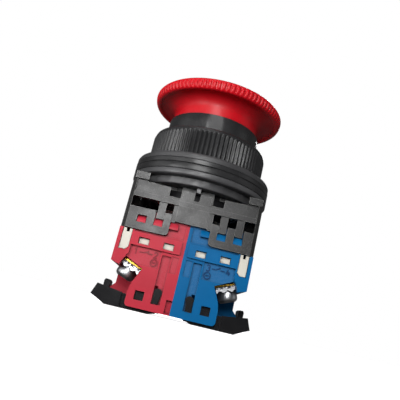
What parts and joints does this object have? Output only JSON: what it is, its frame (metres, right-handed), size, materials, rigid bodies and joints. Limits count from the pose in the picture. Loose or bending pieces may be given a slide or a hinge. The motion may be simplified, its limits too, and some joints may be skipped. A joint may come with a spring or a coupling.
{
  "type": "emergency stop button",
  "caption": "Red 40 mm mushroom-head emergency stop for a 30 mm panel hole, with a ring nut and a holder carrying red and blue contact blocks.",
  "frame": {"origin": "centre of the panel seat, on the gasket's sealing lip that the back of the panel rests on", "axes": "+Z along the button's axis, out of the panel towards the head; front faces -Y; +X to the right, towards the blue contact block"},
  "size_m": [0.0412, 0.0406, 0.07],
  "materials": {
    "head_red": "smooth moulded, semi-gloss",
    "cap_red": "smooth moulded, semi-gloss",
    "white_plastic": "moulded",
    "spring_steel": "drawn wire",
    "ivory_plastic": "moulded",
    "black_rubber": "moulded rubber",
    "black_plastic": "satin moulded",
    "nut_black": "ribbed, satin moulded",
    "washer_fibre": "pressed fibre",
    "holder_grey": "glass-filled, fine spark texture",
    "red_housing": "translucent, moulded",
    "blue_housing": "moulded",
    "cream_plastic": "moulded",
    "copper": "rolled copper alloy",
    "silver_contact": "silver alloy",
    "cover_black": "moulded",
    "brass": "stamped brass",
    "zinc": "bright zinc plated"
  },
  "bodies": {
    "base": {"lock_sleeve": "ivory_plastic", "shaft_seal": "black_rubber", "panel_gasket": "black_rubber", "operator_barrel": "black_plastic", "thrust_ring": "black_plastic", "base_ring": "black_plastic", "block_holder": "holder_grey", "red_front_shell": "red_housing", "red_rear_shell": "red_housing", "red_insert": "cream_plastic", "red_fixed_tips": "silver_contact", "red_front_terminal": "brass", "red_rear_terminal": "brass", "blue_front_shell": "blue_housing", "blue_rear_shell": "blue_housing", "blue_insert": "cream_plastic", "blue_fixed_tips": "silver_contact", "blue_front_terminal": "brass", "blue_rear_terminal": "brass"},
    "plunger": {"stem": "white_plastic", "stem_clip": "spring_steel", "push_plate": "black_plastic", "return_spring": "spring_steel", "latch_spring": "spring_steel"},
    "head": {"mushroom_head": "head_red", "head_cap": "cap_red", "reset_spring": "spring_steel"},
    "pin_left": {"latch_pin_left": "spring_steel"},
    "pin_right": {"latch_pin_right": "spring_steel"},
    "nut_washer": {"nut_washer": "washer_fibre"},
    "ring_nut": {"ring_nut": "nut_black"},
    "lock_ring": {"lock_ring": "black_plastic"},
    "red_carrier": {"red_carrier": "white_plastic", "red_bridge": "copper", "red_bridge_tips": "silver_contact", "red_bridge_spring": "spring_steel", "red_carrier_spring": "spring_steel"},
    "red_cover": {"red_cover": "cover_black"},
    "red_front_clamp": {"red_front_clamp": "zinc", "red_front_washer": "zinc"},
    "red_front_screw": {"red_front_screw": "zinc"},
    "red_rear_clamp": {"red_rear_clamp": "zinc", "red_rear_washer": "zinc"},
    "red_rear_screw": {"red_rear_screw": "zinc"},
    "blue_carrier": {"blue_carrier": "white_plastic", "blue_bridge": "copper", "blue_bridge_tips": "silver_contact", "blue_bridge_spring": "spring_steel", "blue_carrier_spring": "spring_steel"},
    "blue_cover": {"blue_cover": "cover_black"},
    "blue_front_clamp": {"blue_front_clamp": "zinc", "blue_front_washer": "zinc"},
    "blue_front_screw": {"blue_front_screw": "zinc"},
    "blue_rear_clamp": {"blue_rear_clamp": "zinc", "blue_rear_washer": "zinc"},
    "blue_rear_screw": {"blue_rear_screw": "zinc"}
  },
  "joints": [
    {"name": "head_press", "type": "slide", "parent": "base", "child": "plunger", "axis": [0, 0, -1], "range_m": [0, 0.004], "stiffness_N_per_m": 1500, "springref_m": -0.005, "deforming": ["return_spring"]},
    {"name": "head_turn", "type": "hinge", "parent": "plunger", "child": "head", "pos_m": [0, 0, 0.02], "axis": [0, 0, 1], "range_deg": [-45, 0], "stiffness_Nm_per_rad": 0.05, "springref_deg": 11.46},
    {"name": "pin_left_slide", "type": "slide", "parent": "plunger", "child": "pin_left", "axis": [-1, 0, 0], "range_m": [0, 0.0016]},
    {"name": "pin_right_slide", "type": "slide", "parent": "plunger", "child": "pin_right", "axis": [1, 0, 0], "range_m": [0, 0.0016]},
    {"name": "nut_travel", "type": "slide", "parent": "base", "child": "nut_washer", "axis": [0, 0, 1], "range_m": [0, 0.0045]},
    {"name": "nut_turn", "type": "hinge", "parent": "nut_washer", "child": "ring_nut", "pos_m": [0, 0, 0], "axis": [0, 0, 1], "range_deg": [-1080, 0]},
    {"name": "lock_ring_turn", "type": "hinge", "parent": "base", "child": "lock_ring", "pos_m": [0, 0, -0.011], "axis": [0, 0, 1], "range_deg": [0, 15]},
    {"name": "red_carrier_slide", "type": "slide", "parent": "base", "child": "red_carrier", "axis": [0, 0, -1], "range_m": [0, 0.004], "stiffness_N_per_m": 100, "springref_m": -0.004, "deforming": ["red_carrier_spring"]},
    {"name": "red_cover_slide", "type": "slide", "parent": "base", "child": "red_cover", "axis": [0, 0, 1], "range_m": [0, 0.0039]},
    {"name": "red_front_screw_travel", "type": "slide", "parent": "base", "child": "red_front_clamp", "axis": [-0.3584, 0, -0.9336], "range_m": [0, 0.0012]},
    {"name": "red_front_screw_turn", "type": "hinge", "parent": "red_front_clamp", "child": "red_front_screw", "pos_m": [-0.0128, -0.0092, -0.0312], "axis": [-0.3584, 0, -0.9336], "range_deg": [0, 720]},
    {"name": "red_rear_screw_travel", "type": "slide", "parent": "base", "child": "red_rear_clamp", "axis": [-0.3584, 0, -0.9336], "range_m": [0, 0.0012]},
    {"name": "red_rear_screw_turn", "type": "hinge", "parent": "red_rear_clamp", "child": "red_rear_screw", "pos_m": [-0.0128, 0.0092, -0.0312], "axis": [-0.3584, 0, -0.9336], "range_deg": [0, 720]},
    {"name": "blue_carrier_slide", "type": "slide", "parent": "base", "child": "blue_carrier", "axis": [0, 0, -1], "range_m": [0, 0.004], "stiffness_N_per_m": 100, "springref_m": -0.004, "deforming": ["blue_carrier_spring"]},
    {"name": "blue_cover_slide", "type": "slide", "parent": "base", "child": "blue_cover", "axis": [0, 0, 1], "range_m": [0, 0.0039]},
    {"name": "blue_front_screw_travel", "type": "slide", "parent": "base", "child": "blue_front_clamp", "axis": [0.3584, 0, -0.9336], "range_m": [0, 0.0012]},
    {"name": "blue_front_screw_turn", "type": "hinge", "parent": "blue_front_clamp", "child": "blue_front_screw", "pos_m": [0.0128, -0.0092, -0.0312], "axis": [0.3584, 0, -0.9336], "range_deg": [0, 720]},
    {"name": "blue_rear_screw_travel", "type": "slide", "parent": "base", "child": "blue_rear_clamp", "axis": [0.3584, 0, -0.9336], "range_m": [0, 0.0012]},
    {"name": "blue_rear_screw_turn", "type": "hinge", "parent": "blue_rear_clamp", "child": "blue_rear_screw", "pos_m": [0.0128, 0.0092, -0.0312], "axis": [0.3584, 0, -0.9336], "range_deg": [0, 720]}
  ],
  "couplings": [
    {"joint": "pin_left_slide", "follows": "head_press", "ratio": 0.4},
    {"joint": "pin_right_slide", "follows": "head_press", "ratio": 0.4},
    {"joint": "nut_turn", "follows": "nut_travel", "rad_per_m": -4188.8},
    {"joint": "red_carrier_slide", "follows": "head_press", "ratio": 1},
    {"joint": "red_front_screw_turn", "follows": "red_front_screw_travel", "rad_per_m": 10472},
    {"joint": "red_rear_screw_turn", "follows": "red_rear_screw_travel", "rad_per_m": 10472},
    {"joint": "blue_carrier_slide", "follows": "head_press", "ratio": 1},
    {"joint": "blue_front_screw_turn", "follows": "blue_front_screw_travel", "rad_per_m": 10472},
    {"joint": "blue_rear_screw_turn", "follows": "blue_rear_screw_travel", "rad_per_m": 10472}
  ]
}
